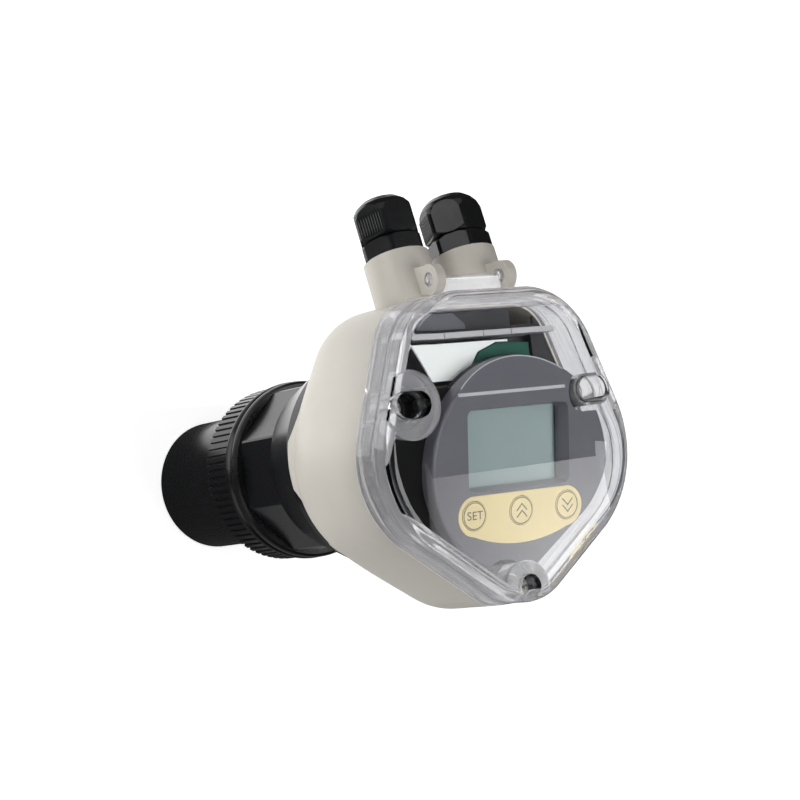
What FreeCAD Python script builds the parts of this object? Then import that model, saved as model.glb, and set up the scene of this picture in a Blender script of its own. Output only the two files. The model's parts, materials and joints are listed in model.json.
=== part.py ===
import FreeCAD, Part
import os
import math

os.makedirs("parts", exist_ok=True)
Vec = FreeCAD.Vector

# ---------------------------------------------------------------- dimensions
# Frame: origin at the centre of the sounding face, +Z up along the probe,
# +Y towards the cable entries, +X to the right when facing the display.

# probe
R_END = 28.5          # smooth sounding end
R_THREAD = 29.7       # thread crest, drawn as a plain cylinder
Z_THREAD = 56.0       # thread starts
Z_NECK = 83.2         # shoulder that the seal ring bears on
NECK_AF = 68.0        # wrench flats, eight sides
R_NECK = 33.6         # plain core under the flats
R_NECK_CORNER = 36.6
Z_FLARE = 110.0       # lower rim of the flared flange
R_FLARE = 37.4
R_FLANGE = 45.4
Z_COLLAR = 137.0      # probe flange meets the housing
SCALLOP_N = 6         # raised waves of the flange, keyed into the collar
SCALLOP_R, SCALLOP_DROP, SCALLOP_IN = 22.0, 17.4, 42.4
R_BORE = 25.2
SEAL_R0, SEAL_R1 = 30.0, 32.8   # groove of the flange seal

# lock nut and seal ring
Z_NUT = 57.0
R_KNURL = 37.5
KNURL_N = 76
KNURL_D = 0.75
R_NUT_BORE = 30.0
Z_RING0 = 78.2
R_RING = 38.3

# housing and cover outline: five-sided shield with rounded corners
OUT_V = [(0.0, -69.3), (65.4, -21.0), (37.75, 55.8), (-37.75, 55.8), (-65.4, -21.0)]
OUT_R = [18.0, 39.0, 19.0, 19.0, 39.0]
FRONT_R = [6.0, 4.0, 12.0, 12.0, 4.0]   # how much rounder the front of the cover is
Z_RIM = 203.3
Z_COV = 203.5
Z_FRONT = 226.5
T_FRONT = 3.2
WALL = 4.2
COV_WALL = 3.6
R_COLLAR = 45.6
BLEND_Z0 = 142.4      # the round collar ends and the body starts to flare
BLEND_Z1 = 180.0      # the flare has reached the full outline
BLEND_P = 2.6         # fullness of the flare
FLOOR_Z = 143.0

# cover screws
SCREW_XY = [(-43.6, 14.6), (43.6, 14.6), (0.0, -58.5)]
BOSS_R = [12.8, 12.8, 9.5]
BOSS_CORE = 6.3       # wall around each screw recess
Z_BOSS = 217.2        # the wide part of the side bosses starts here
Z_SEAT = [209.0, 209.0, 216.5]
R_CBORE = [5.0, 5.0, 4.7]
CBORE_X = 2.8         # side recesses are slots, longer by this each way

# hinge
HY, HZ = 62.9, 211.8
EAR_X0, EAR_X1 = 15.2, 19.2
R_EAR = 6.0
R_HOLE = 2.8
R_JOURNAL = 2.7
R_BAR = 1.3

# cable entries
GX = 16.3
G_RIM = (74.3, 188.0)
G_LEAN = 15.5
R_BOSS = 13.3
GLAND_TURN = (-6.0, 15.0)   # how far each gland is turned

# display group, on a plane leaning towards the reader
PAN_O = (9.5, 0.5, 218.9)
PAN_TILT = 10.25
PUCK_R = 42.6
PUCK_V = -12.8
PUCK_H = 6.9
CREASE_V = 16.6
WIN_W, WIN_H, WIN_U, WIN_V = 49.8, 32.4, -1.2, -5.5
KEY_PITCH, KEY_U, KEY_V = 22.75, -1.0, -30.3


# ---------------------------------------------------------------- helpers
def save(shape, name):
    shape.exportStep("parts/%s.step" % name)


def group(solids):
    return Part.makeCompound(solids)


def cyl(r, z0, z1, x=0.0, y=0.0):
    return Part.makeCylinder(r, z1 - z0, Vec(x, y, z0))


def box(x0, x1, y0, y1, z0, z1):
    return Part.makeBox(x1 - x0, y1 - y0, z1 - z0, Vec(x0, y0, z0))


def lathe(pts):
    """solid of revolution about Z from (r, z) points"""
    w = Part.makePolygon([Vec(r, 0, z) for r, z in pts] + [Vec(pts[0][0], 0, pts[0][1])])
    return Part.Face(w).revolve(Vec(0, 0, 0), Vec(0, 0, 1), 360)


def fuse(first, rest):
    return first.multiFuse(rest).removeSplitter() if rest else first


def inset_poly(d):
    """corner points of the outline moved inwards by d"""
    n = len(OUT_V)
    lines = []
    for i in range(n):
        (x0, y0), (x1, y1) = OUT_V[i], OUT_V[(i + 1) % n]
        ln = math.hypot(x1 - x0, y1 - y0)
        nx, ny = -(y1 - y0) / ln, (x1 - x0) / ln
        lines.append((nx, ny, nx * x0 + ny * y0 + d))
    pts = []
    for i in range(n):
        a, b = lines[i - 1], lines[i]
        det = a[0] * b[1] - a[1] * b[0]
        pts.append(((a[2] * b[1] - a[1] * b[2]) / det, (a[0] * b[2] - a[2] * b[0]) / det))
    return pts


def outline(d, z, front=0.0):
    """closed wire of the shield outline moved inwards by d, at height z; front 0..1 rounds the corners"""
    pts = inset_poly(d)
    n = len(pts)
    tang = []
    for i in range(n):
        p = Vec(pts[i][0], pts[i][1], z)
        a = (Vec(pts[i - 1][0], pts[i - 1][1], z) - p).normalize()
        b = (Vec(pts[(i + 1) % n][0], pts[(i + 1) % n][1], z) - p).normalize()
        r = max(OUT_R[i] - d, 1.5) + front * FRONT_R[i]
        half = math.acos(max(-1, min(1, a.dot(b)))) / 2
        tl = r / math.tan(half)
        c = p + (a + b).normalize() * (r / math.sin(half))
        mid = c + (p - c).normalize() * r
        tang.append((p + a * tl, mid, p + b * tl))
    edges = []
    for i in range(n):
        s, m, e = tang[i]
        edges.append(Part.Arc(s, m, e).toShape())
        edges.append(Part.makeLine(e, tang[(i + 1) % n][0]))
    return Part.Wire(edges)


def prism(d, z0, z1):
    return Part.Face(outline(d, z0)).extrude(Vec(0, 0, z1 - z0))


def lid_loft(sections):
    return Part.makeLoft([outline(d, z, t) for z, d, t in sections], True, True)


def polar(d, n=96):
    pts = outline(d, 0.0).discretize(Number=1200)
    ang = sorted((math.atan2(p.y, p.x) % (2 * math.pi), math.hypot(p.x, p.y)) for p in pts)
    out = []
    j = 0
    for i in range(n):
        th = 2 * math.pi * i / n
        while j < len(ang) - 1 and ang[j + 1][0] <= th:
            j += 1
        a, b = ang[j], ang[(j + 1) % len(ang)]
        da = (b[0] - a[0]) % (2 * math.pi)
        f = ((th - a[0]) % (2 * math.pi)) / da if da > 1e-9 else 0.0
        out.append((th, a[1] + (b[1] - a[1]) * min(max(f, 0.0), 1.0)))
    return out


def body_loft(d, z0, z1, rc):
    """housing body: round collar at the rear growing into the shield outline"""
    ring = polar(d)
    zs = [max(z0, BLEND_Z0)]
    for q in (140.3, 142.0, 144.0, 146.5, 149.5, 153.0, 157.0, 161.5, 166.5, 172.0, 178.0, 184.5, 191.0, 197.5):
        if zs[0] + 0.9 < q < z1 - 0.9:
            zs.append(q)
    zs.append(z1)
    wires = []
    for z in zs:
        t = min(max((z - BLEND_Z0) / (BLEND_Z1 - BLEND_Z0), 0.0), 1.0)
        s = 1.0 - (1.0 - t) ** BLEND_P
        pts = []
        for th, R in ring:
            r = rc + (R - rc) * s
            pts.append(Vec(r * math.cos(th), r * math.sin(th), z))
        c = Part.BSplineCurve()
        c.interpolate(Points=pts, PeriodicFlag=True)
        wires.append(Part.Wire(c.toShape()))
    body = Part.makeLoft(wires, True, False)
    if z0 < BLEND_Z0:
        body = body.fuse(cyl(R_FLANGE, z0, BLEND_Z0 + 0.2))
    return body


PAN = FreeCAD.Placement(Vec(*PAN_O), FreeCAD.Rotation(Vec(1, 0, 0), PAN_TILT))


def on_panel(shape):
    s = shape.copy()
    s.Placement = PAN.multiply(s.Placement)
    return s


def off_panel(shape):
    """the same shape in the panel's own coordinates"""
    s = shape.copy()
    s.Placement = PAN.inverse().multiply(s.Placement)
    return s


def gland_frame(x):
    return FreeCAD.Placement(Vec(x, G_RIM[0], G_RIM[1]),
                             FreeCAD.Rotation(Vec(1, 0, 0), -(90.0 + G_LEAN)))


def on_gland(shape, x):
    s = shape.copy()
    s.Placement = gland_frame(x).multiply(s.Placement)
    return s


def rrect(w, h, r, z, cx=0.0, cy=0.0):
    """rounded rectangle wire, centre (cx, cy)"""
    x0, x1, y0, y1 = cx - w / 2, cx + w / 2, cy - h / 2, cy + h / 2
    q = r * (1 - math.sqrt(0.5))
    P = lambda x, y: Vec(x, y, z)
    e = [Part.makeLine(P(x0 + r, y0), P(x1 - r, y0)),
         Part.Arc(P(x1 - r, y0), P(x1 - q, y0 + q), P(x1, y0 + r)).toShape(),
         Part.makeLine(P(x1, y0 + r), P(x1, y1 - r)),
         Part.Arc(P(x1, y1 - r), P(x1 - q, y1 - q), P(x1 - r, y1)).toShape(),
         Part.makeLine(P(x1 - r, y1), P(x0 + r, y1)),
         Part.Arc(P(x0 + r, y1), P(x0 + q, y1 - q), P(x0, y1 - r)).toShape(),
         Part.makeLine(P(x0, y1 - r), P(x0, y0 + r)),
         Part.Arc(P(x0, y0 + r), P(x0 + q, y0 + q), P(x0 + r, y0)).toShape()]
    return Part.Wire(e)


def slab(wire, h):
    return Part.Face(wire).extrude(Vec(0, 0, h))


def slot(half, r, z0, z1, x, y):
    """upright prism, long along X with round ends"""
    return slab(rrect(2 * (half + r), 2 * r - 0.02, r - 0.02, z0, x, y), z1 - z0)


def hexagon(af, z0, z1, turn=0.0):
    rc = af / math.sqrt(3.0)
    pts = [Vec(rc * math.cos(math.radians(60 * i + turn)), rc * math.sin(math.radians(60 * i + turn)), z0)
           for i in range(7)]
    return Part.Face(Part.makePolygon(pts)).extrude(Vec(0, 0, z1 - z0))


# ---------------------------------------------------------------- probe
FLANGE_PCD = 38.4
flange_holes = [(FLANGE_PCD * math.cos(math.radians(a)), FLANGE_PCD * math.sin(math.radians(a)))
                for a in (60, 150, 240, 330)]

def octagon(af, z0, z1):
    rc = af / 2 / math.cos(math.radians(22.5))
    pts = [Vec(rc * math.cos(math.radians(22.5 + 45 * i)), rc * math.sin(math.radians(22.5 + 45 * i)), z0) for i in range(9)]
    return Part.Face(Part.makePolygon(pts)).extrude(Vec(0, 0, z1 - z0))


def scallops(r0, r1, drop, rad):
    """ring pieces cut by lying cylinders: the waves of the flange edge"""
    out = []
    for i in range(SCALLOP_N):
        a = math.radians(30 + 360.0 / SCALLOP_N * i)
        d = Vec(math.cos(a), math.sin(a), 0)
        c = Part.makeCylinder(rad, 30.0, Vec(d.x * 30, d.y * 30, Z_COLLAR - drop), d)
        out.append(c.common(cyl(r1, Z_COLLAR, Z_COLLAR + 8).cut(cyl(r0, Z_COLLAR - 1, Z_COLLAR + 9))))
    return out


probe = lathe([(R_BORE + 0.3, 0.0), (R_END - 1.0, 0.0), (R_END, 1.0), (R_END, Z_THREAD), (R_THREAD - 0.6, Z_THREAD + 0.4),
               (R_THREAD, Z_THREAD + 1.0), (R_THREAD, Z_NECK), (R_NECK, Z_NECK),
               (R_NECK, Z_FLARE), (R_FLARE - 0.5, Z_FLARE), (R_FLARE, Z_FLARE + 0.5), (R_FLANGE - 0.3, Z_COLLAR - 1.8),
               (R_FLANGE, Z_COLLAR - 0.9), (R_FLANGE, Z_COLLAR), (SEAL_R1, Z_COLLAR), (SEAL_R1, Z_COLLAR - 2.2),
               (SEAL_R0, Z_COLLAR - 2.2), (SEAL_R0, Z_COLLAR), (R_BORE, Z_COLLAR), (R_BORE, 4.0), (R_BORE + 0.3, 4.0)])
flats = octagon(NECK_AF, Z_NECK, Z_FLARE + 1.0).common(
    lathe([(R_NECK - 3.0, Z_NECK), (R_NECK_CORNER - 1.0, Z_NECK), (R_NECK_CORNER, Z_NECK + 1.0), (R_NECK_CORNER, Z_FLARE + 1.0),
           (R_NECK - 3.0, Z_FLARE + 1.0)]))
probe = probe.multiFuse([flats] + scallops(SCALLOP_IN, R_FLANGE, SCALLOP_DROP, SCALLOP_R)).removeSplitter()
probe = probe.cut(group([cyl(1.5, Z_COLLAR - 9.0, Z_COLLAR + 1, x, y) for x, y in flange_holes]))
save(probe, "probe_body")

save(cyl(R_BORE + 0.2, 0.0, 4.0), "sounding_face")
save(cyl(20.0, 4.0, 12.0), "piezo_disc")
save(cyl(R_BORE, 4.0, 46.0).cut(cyl(20.0, 4.0, 12.0)), "damping_block")
save(lathe([(SEAL_R0, Z_COLLAR - 2.2), (SEAL_R1, Z_COLLAR - 2.2), (SEAL_R1, Z_COLLAR), (SEAL_R0, Z_COLLAR)]), "flange_seal")

# ---------------------------------------------------------------- lock nut and seal ring
pts = []
for i in range(KNURL_N):
    a0 = 2 * math.pi * i / KNURL_N
    st = 2 * math.pi / KNURL_N
    for f, r in ((0.0, R_KNURL), (0.55, R_KNURL), (0.66, R_KNURL - KNURL_D), (0.89, R_KNURL - KNURL_D)):
        pts.append(Vec(r * math.cos(a0 + st * f), r * math.sin(a0 + st * f), 0))
pts.append(pts[0])
knurl = Part.Face(Part.makePolygon(pts)).extrude(Vec(0, 0, 16.0))
knurl.translate(Vec(0, 0, Z_NUT + 0.9))
nut = fuse(knurl, [lathe([(R_NUT_BORE, Z_NUT), (R_KNURL - 1.6, Z_NUT), (R_KNURL - KNURL_D - 0.2, Z_NUT + 0.9),
                          (R_KNURL - KNURL_D - 0.2, Z_NUT + 16.9), (R_KNURL + 0.3, Z_NUT + 17.3),
                          (R_KNURL + 0.9, Z_NUT + 18.2), (R_KNURL + 1.0, Z_NUT + 18.9),
                          (R_KNURL + 0.7, Z_NUT + 19.7), (R_KNURL - 0.2, Z_NUT + 20.6), (R_NUT_BORE, Z_NUT + 20.6)])])
nut = nut.cut(cyl(R_NUT_BORE, Z_NUT - 1, Z_NUT + 30))
save(nut, "lock_nut")

save(lathe([(30.2, Z_RING0), (R_RING - 1.2, Z_RING0), (R_RING - 0.3, Z_RING0 + 0.8), (R_RING, Z_RING0 + 1.8),
            (R_RING, Z_RING0 + 2.8), (R_RING - 0.4, Z_RING0 + 3.8), (R_RING - 1.4, Z_RING0 + 4.6),
            (R_NECK + 1.4, Z_RING0 + 5.0), (30.2, Z_RING0 + 5.0)]), "seal_ring")

# ---------------------------------------------------------------- housing
outer = body_loft(0.0, Z_COLLAR, Z_RIM, R_COLLAR)
inner = body_loft(WALL, FLOOR_Z, Z_RIM + 1.0, R_COLLAR - WALL)
shell = outer.cut(inner)

adds = []
# posts for the cover screws
for (x, y) in SCREW_XY:
    adds.append(cyl(5.6, 150.0, Z_RIM, x, y))
# pillars for the carrier plate, square to the leaning panel
CARRIER_XY = [(-39.0, -12.0), (26.0, -12.0), (-8.0, -44.0)]
for (u, v) in CARRIER_XY:
    p = cyl(3.8, -82.0, -PUCK_H - 3.0, u, v)
    adds.append(on_panel(p))
# standoffs for the main board and pillars for the terminal shelf
BOARD = (-22.0, 29.0, -27.0, 22.0)
BOARD_Z = 158.0
BOARD_XY = [(BOARD[0] + 4, BOARD[2] + 4), (BOARD[1] - 4, BOARD[2] + 4),
            (BOARD[0] + 4, BOARD[3] - 4), (BOARD[1] - 4, BOARD[3] - 4)]
for (x, y) in BOARD_XY:
    adds.append(cyl(3.2, FLOOR_Z - 1.0, BOARD_Z, x, y))
SHELF_Z = 197.0
LEDGE_Z = 204.4
SHELF_XY = [(-30.5, 33.6), (31.5, 30.0)]
for (x, y) in SHELF_XY:
    adds.append(cyl(3.4, FLOOR_Z - 1.0, SHELF_Z, x, y))
adds = [a.common(outer) for a in adds]

# cable-entry bosses and hinge ears
outside = []
inner_keep = body_loft(WALL, FLOOR_Z, Z_RIM + 1.0, R_COLLAR - WALL)
for s in (-1, 1):
    b = on_gland(cyl(R_BOSS, -30.0, 0.0), s * GX)
    b = b.cut(inner_keep).cut(box(-60, 60, -80, 56.9, Z_RIM, 240)).cut(box(-60, 60, -80, 52.0, 100, 240))
    outside.append(b)
    web = Part.Face(Part.makePolygon([Vec(0, HY - R_EAR + 0.4, HZ), Vec(0, HY - R_EAR + 1.0, 194.0), Vec(0, 69.6, 191.0),
                                      Vec(0, HY + R_EAR - 0.5, HZ - 1.0), Vec(0, HY, HZ), Vec(0, HY - R_EAR + 0.4, HZ)]))
    x0 = EAR_X0 if s > 0 else -EAR_X1
    web = web.extrude(Vec(EAR_X1 - EAR_X0, 0, 0))
    web.translate(Vec(x0, 0, 0))
    tip = Part.makeCylinder(R_EAR, EAR_X1 - EAR_X0, Vec(x0, HY, HZ), Vec(1, 0, 0))
    outside.append(web)
    outside.append(tip)

housing = shell.multiFuse(adds + outside)
cuts = []
for s in (-1, 1):
    cuts.append(on_gland(cyl(9.8, -13.6, 1.0), s * GX))
    cuts.append(on_gland(cyl(7.0, -34.0, 0.0), s * GX))
    x0 = EAR_X0 if s > 0 else -EAR_X1
    cuts.append(Part.makeCylinder(R_HOLE, EAR_X1 - EAR_X0 + 2, Vec(x0 - 1, HY, HZ), Vec(1, 0, 0)))
for (x, y) in SCREW_XY:
    cuts.append(cyl(3.3, Z_RIM - 12.0, Z_RIM + 1.0, x, y))
for (u, v) in CARRIER_XY:
    cuts.append(on_panel(cyl(1.25, -PUCK_H - 12.0, -PUCK_H - 2.0, u, v)))
for (x, y) in BOARD_XY:
    cuts.append(cyl(1.2, BOARD_Z - 7.0, BOARD_Z + 1.0, x, y))
for (x, y) in SHELF_XY:
    cuts.append(cyl(1.2, SHELF_Z - 7.0, SHELF_Z + 1.0, x, y))
for (x, y) in flange_holes:
    cuts.append(cyl(1.8, Z_COLLAR - 1.0, FLOOR_Z + 1.0, x, y))
cuts.append(cyl(24.0, Z_COLLAR - 1.0, FLOOR_Z + 1.0))
cuts += scallops(SCALLOP_IN - 0.2, R_FLANGE + 8.0, SCALLOP_DROP, SCALLOP_R + 0.15)
GROOVE = prism(1.3, Z_RIM - 1.9, Z_RIM + 1.0).cut(prism(3.0, Z_RIM - 1.9, Z_RIM + 1.0))
cuts.append(GROOVE)
housing = housing.cut(group(cuts))
save(housing, "housing")

gasket = prism(1.35, Z_RIM - 1.9, Z_RIM + 0.1).cut(prism(2.95, Z_RIM - 1.9, Z_RIM + 0.1))
save(gasket, "cover_gasket")

# screws through the housing floor into the probe flange
fs = []
for (x, y) in flange_holes:
    fs.append(cyl(1.5, Z_COLLAR - 8.5, FLOOR_Z, x, y).fuse(cyl(2.2, FLOOR_Z, FLOOR_Z + 1.8, x, y)).cut(
        box(x - 1.6, x + 1.6, y - 0.3, y + 0.3, FLOOR_Z + 1.0, FLOOR_Z + 2.5)))
save(group(fs), "flange_screws")

# ---------------------------------------------------------------- main board
bx0, bx1, by0, by1 = BOARD
board = box(bx0, bx1, by0, by1, BOARD_Z, BOARD_Z + 1.6)
board = board.cut(group([cyl(1.4, BOARD_Z - 1, BOARD_Z + 3, x, y) for x, y in BOARD_XY]))
save(board, "main_board")
save(group([cyl(1.2, BOARD_Z - 6.0, BOARD_Z + 1.6, x, y).fuse(cyl(2.4, BOARD_Z + 1.6, BOARD_Z + 3.2, x, y))
            for x, y in BOARD_XY]), "board_screws")

# ---------------------------------------------------------------- terminal compartment
shelf = box(-42.0, 42.0, 22.6, 42.0, SHELF_Z, SHELF_Z + 2.0)
back = box(-42.0, 42.0, 42.0, 43.4, SHELF_Z, LEDGE_Z)
shelf = shelf.fuse(back).common(prism(WALL + 1.0, 180.0, 240.0))
# ledge around the pocket, with a notch each side for the cable cores
ledge = prism(5.4, LEDGE_Z - 1.5, LEDGE_Z).common(box(-70, 70, 23.4, 60, 190, 220))
ledge = ledge.cut(box(-33.0, 31.5, 20.0, 42.0, 190, 220))
ledge = ledge.cut(box(-33.5, -24.6, 43.9, 60.0, 190, 220)).cut(box(22.0, 33.5, 43.9, 60.0, 190, 220))
shelf = shelf.fuse(ledge).removeSplitter()
shelf = shelf.cut(group([cyl(6.6, SHELF_Z - 1, SHELF_Z + 4, x, y) for x, y in SCREW_XY[:2]]
                        + [cyl(1.4, SHELF_Z - 1, SHELF_Z + 4, x, y) for x, y in SHELF_XY]))
save(shelf, "terminal_shelf")
save(group([cyl(1.2, SHELF_Z - 6.0, SHELF_Z + 2.0, x, y).fuse(cyl(2.3, SHELF_Z + 2.0, SHELF_Z + 3.4, x, y))
            for x, y in SHELF_XY]), "shelf_screws")

# terminal block with a slanted, rounded left end
TB_TOP = SHELF_Z + 14.0
tb = Part.Face(Part.makePolygon([Vec(-3.6, 24.0, 0), Vec(24.5, 24.0, 0), Vec(24.5, 36.0, 0), Vec(9.5, 36.6, 0),
                                 Vec(0.2, 33.4, 0), Vec(-4.2, 27.8, 0), Vec(-3.6, 24.0, 0)])).extrude(Vec(0, 0, 12.0))
tb = tb.makeFillet(2.0, [e for e in tb.Edges if abs(e.Vertexes[0].X - e.Vertexes[-1].X) < 1e-6
                         and abs(e.Vertexes[0].Y - e.Vertexes[-1].Y) < 1e-6 and e.Vertexes[0].X < 20])
tb.translate(Vec(0, 0, SHELF_Z + 2.0))
holes, tscr = [], []
for i in range(4):
    x = 4.6 + i * 5.2
    holes.append(cyl(1.75, TB_TOP - 5.0, TB_TOP + 2.0, x, 27.2))
    holes.append(box(x - 1.5, x + 1.5, 33.0, 38.0, SHELF_Z + 4.0, SHELF_Z + 7.4))
    tscr.append(cyl(1.65, TB_TOP - 5.0, TB_TOP - 1.4, x, 27.2).cut(
        box(x - 2, x + 2, 26.9, 27.5, TB_TOP - 2.1, TB_TOP)))
save(tb.cut(group(holes)), "terminal_block")
save(group(tscr), "terminal_screws")

strip = box(-40.0, 40.0, 39.6, 41.8, SHELF_Z + 2.0, SHELF_Z + 15.0)
strip = strip.common(prism(WALL + 1.0, 180.0, 240.0))
strip = strip.cut(group([box(-60.0, -32.9, 39.0, 43.0, 190.0, LEDGE_Z), box(31.4, 60.0, 39.0, 43.0, 190.0, LEDGE_Z)]))
strip = strip.cut(group([box(x - 0.25, x + 0.25, 39.0, 42.0, SHELF_Z + 14.5, SHELF_Z + 16) for x in (-16.3, 2.6, 16.2)]))
save(strip, "marker_strip")

# grey plate on the left part of the ledge
pad = Part.Face(Part.makePolygon([Vec(-24.4, 43.6, 0), Vec(-1.0, 43.6, 0), Vec(-1.0, 45.4, 0), Vec(-6.4, 49.9, 0),
                                  Vec(-24.4, 49.9, 0), Vec(-24.4, 43.6, 0)])).extrude(Vec(0, 0, 1.2))
pad = pad.makeFillet(1.6, [e for e in pad.Edges if abs(e.Vertexes[0].X - e.Vertexes[-1].X) < 1e-6
                           and abs(e.Vertexes[0].Y - e.Vertexes[-1].Y) < 1e-6 and e.Vertexes[0].X > -10 and e.Vertexes[0].Y > 44])
pad.translate(Vec(0, 0, LEDGE_Z))
save(pad, "ledge_plate")

card = Part.Face(Part.makePolygon([Vec(-30.6, 37.8, 0), Vec(-23.4, 23.4, 0), Vec(-4.0, 23.4, 0), Vec(-4.7, 27.9, 0),
                                   Vec(-0.2, 33.8, 0), Vec(9.3, 37.1, 0), Vec(15.0, 36.9, 0), Vec(15.0, 37.8, 0),
                                   Vec(-30.6, 37.8, 0)])).extrude(Vec(0, 0, 0.8))
card.translate(Vec(0, 0, SHELF_Z + 12.6))
save(card.fuse(box(-16.0, -11.0, 28.0, 33.0, SHELF_Z + 2.0, SHELF_Z + 12.6)).removeSplitter(), "wiring_card")

# ---------------------------------------------------------------- clear cover
lid_out = lid_loft([(Z_COV, 0.0, 0.0), (215.0, -0.3, 0.55), (215.5, 0.3, 0.57), (216.0, -0.35, 0.6), (221.5, -0.9, 0.9),
                    (224.0, -1.0, 1.0), (225.2, -0.5, 1.0), (226.0, 0.5, 1.0), (226.4, 1.7, 1.0), (Z_FRONT, 3.0, 1.0)])
lid_in = lid_loft([(Z_COV - 1.0, COV_WALL, 0.0), (215.0, COV_WALL - 0.5, 0.6), (Z_FRONT - T_FRONT, COV_WALL - 0.9, 1.0)])
lid = lid_out.cut(lid_in)
# screw bosses; the right one is relieved where it would meet the display disc
disc_room = on_panel(cyl(PUCK_R + 1.8, -40.0, 40.0, 0.0, PUCK_V))
bosses = []
for (x, y), r in zip(SCREW_XY, BOSS_R):
    b = cyl(r, Z_BOSS if abs(x) > 1 else Z_COV, 225.0, x, y)
    if x > 1.0:
        b = b.cut(disc_room)
    bosses.append(b.common(lid_out))
    bosses.append(slot(CBORE_X if abs(x) > 1 else 0.3, BOSS_CORE, Z_COV, 225.0, x, y).common(lid_out))
# hinge tab with a bar along its edge, ending in a journal each side
TAB_X = EAR_X0 - 0.5
tab = box(-TAB_X, TAB_X, 52.6, HY, HZ - 1.1, HZ + 1.1).cut(lid_in)
rod = Part.makeCylinder(R_BAR, 2 * EAR_X0, Vec(-EAR_X0, HY, HZ), Vec(1, 0, 0))
for s in (-1, 1):
    x0 = TAB_X - 1.0 if s > 0 else -EAR_X1 + 0.2
    rod = rod.fuse(Part.makeCylinder(R_JOURNAL, EAR_X1 - TAB_X + 0.8, Vec(x0, HY, HZ), Vec(1, 0, 0)))
lid = lid.multiFuse(bosses + [tab, rod])
for (x, y), zseat, rc in zip(SCREW_XY, Z_SEAT, R_CBORE):
    tool = cyl(2.4, Z_COV - 1.0, 230.0, x, y).fuse(cyl(rc, zseat, 230.0, x, y))
    if abs(x) > 1.0:
        tool = tool.fuse(slot(CBORE_X, rc, zseat + 1.0, 230.0, x, y))
    lid = lid.cut(tool)
lid = lid.removeSplitter()
save(lid, "cover")

cs = []
for (x, y), zseat in zip(SCREW_XY, Z_SEAT):
    head = cyl(4.0, zseat, zseat + 3.2, x, y)
    head = head.makeFillet(0.9, [e for e in head.Edges if abs(e.BoundBox.ZMin - zseat - 3.2) < 1e-3
                                 and abs(e.BoundBox.ZMax - zseat - 3.2) < 1e-3])
    cross = [box(x - 2.3, x + 2.3, y - 0.45, y + 0.45, zseat + 1.6, zseat + 4),
             box(x - 0.45, x + 0.45, y - 2.3, y + 2.3, zseat + 1.6, zseat + 4)]
    cs.append(head.fuse(cyl(2.0, Z_RIM - 5.0, zseat, x, y)).cut(group(cross)))
save(group(cs), "cover_screws")

# ---------------------------------------------------------------- carrier, bezel and display
# room left for the cover's bosses, also while the cover swings open
keep_out = [cyl(BOSS_R[2] + 1.6, 180.0, 240.0, *SCREW_XY[2])]
for (x, y) in SCREW_XY[:2]:
    for dy in (0.0, -1.0):
        keep_out.append(slot(CBORE_X, BOSS_CORE + 1.1, 180.0, 240.0, x, y + dy))


def clear_of_bosses(shape):
    for k in keep_out:
        shape = shape.cut(k)
    return shape


plate_zone = on_panel(box(-90.0, 90.0, -90.0, 19.0, -PUCK_H - 3.0, -PUCK_H))
disc_zone = on_panel(cyl(PUCK_R, -PUCK_H - 3.0, -PUCK_H, 0.0, PUCK_V))
carrier = clear_of_bosses(plate_zone.fuse(disc_zone).removeSplitter().common(prism(5.9, 170.0, 240.0)))
holes = [on_panel(box(WIN_U - 24.0, WIN_U + 24.0, WIN_V - 17.0, WIN_V + 17.0, -PUCK_H - 4.0, -PUCK_H + 1.0))]
for i in (-1, 0, 1):
    holes.append(on_panel(cyl(4.4, -PUCK_H - 4.0, -PUCK_H + 1.0, KEY_U + i * KEY_PITCH, KEY_V)))
for (u, v) in CARRIER_XY:
    holes.append(on_panel(cyl(1.45, -PUCK_H - 4.0, -PUCK_H + 1.0, u, v)))
    holes.append(on_panel(cyl(2.7, -PUCK_H - 1.5, -PUCK_H + 1.0, u, v)))
carrier = carrier.cut(group(holes))
save(carrier, "carrier_plate")
save(group([on_panel(cyl(1.25, -PUCK_H - 11.0, -PUCK_H - 1.5, u, v).fuse(cyl(2.6, -PUCK_H - 1.5, -PUCK_H - 0.1, u, v)))
            for u, v in CARRIER_XY]), "carrier_screws")

# gold strip outline: straight top, half-round ends, bowed bottom
KT, KE = 8.1, 30.2
def strip_wire(z, grow):
    top = KEY_V + KT - 0.6 + grow
    yb = KEY_V - 8.2 - grow
    low = KEY_V - 12.6 - grow
    xe = KE + grow
    xs = 23.6
    e = [Part.makeLine(Vec(xs, top, z), Vec(-xs, top, z)),
         Part.Arc(Vec(-xs, top, z), Vec(-xe, KEY_V + 0.6, z), Vec(-xs + 0.6, yb, z)).toShape(),
         Part.Arc(Vec(-xs + 0.6, yb, z), Vec(0, low, z), Vec(xs - 0.6, yb, z)).toShape(),
         Part.Arc(Vec(xs - 0.6, yb, z), Vec(xe, KEY_V + 0.6, z), Vec(xs, top, z)).toShape()]
    w = Part.Wire(e)
    w.translate(Vec(KEY_U, 0, 0))
    return w

bez = cyl(PUCK_R, -PUCK_H, 0.0, 0.0, PUCK_V).common(off_panel(prism(5.5, 170.0, 240.0)))
for k in keep_out:
    bez = bez.cut(off_panel(k))
# softened front rim
rim = lathe([(PUCK_R - 1.2, 0.0), (PUCK_R + 2, 0.0), (PUCK_R + 2, -1.2), (PUCK_R, -1.2), (PUCK_R - 0.35, -0.35)])
rim.translate(Vec(0, PUCK_V, 0))
bez = bez.cut(rim)
# upper segment falls away behind the crease
wedge = Part.Face(Part.makePolygon([Vec(-60, CREASE_V, 0), Vec(-60, CREASE_V + 20, -6.0), Vec(-60, CREASE_V + 20, 5),
                                    Vec(-60, CREASE_V, 5), Vec(-60, CREASE_V, 0)])).extrude(Vec(120, 0, 0))
bez = bez.cut(wedge)
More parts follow.
